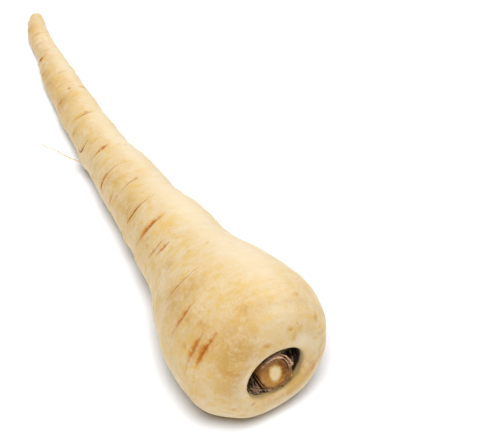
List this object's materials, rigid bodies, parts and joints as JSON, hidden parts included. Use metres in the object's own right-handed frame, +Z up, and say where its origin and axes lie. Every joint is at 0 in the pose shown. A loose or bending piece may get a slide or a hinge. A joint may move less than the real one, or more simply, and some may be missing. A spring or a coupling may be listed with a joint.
{
  "type": "parsnip",
  "caption": "A fresh parsnip lying on its side: a cream, tapering taproot with a hollow crown that holds dried leaf bases and a cut stalk.",
  "frame": {"origin": "on the surface that the root lies on, under the middle of its box", "axes": "+X along the root from its tip to its crown, +Z up as it lies; the thin end bends towards +Y"},
  "size_m": [0.2442, 0.062, 0.0616],
  "materials": {
    "skin": "satin",
    "dried_leaf": "matte",
    "cut_stalk": "matte"
  },
  "bodies": {
    "root": {"root": "skin", "rootlet": "skin", "leaf_base_upper": "dried_leaf", "leaf_base_lower": "dried_leaf", "leaf_base_right": "dried_leaf", "stalk_sheath": "dried_leaf", "stalk_stub": "cut_stalk"}
  },
  "joints": []
}
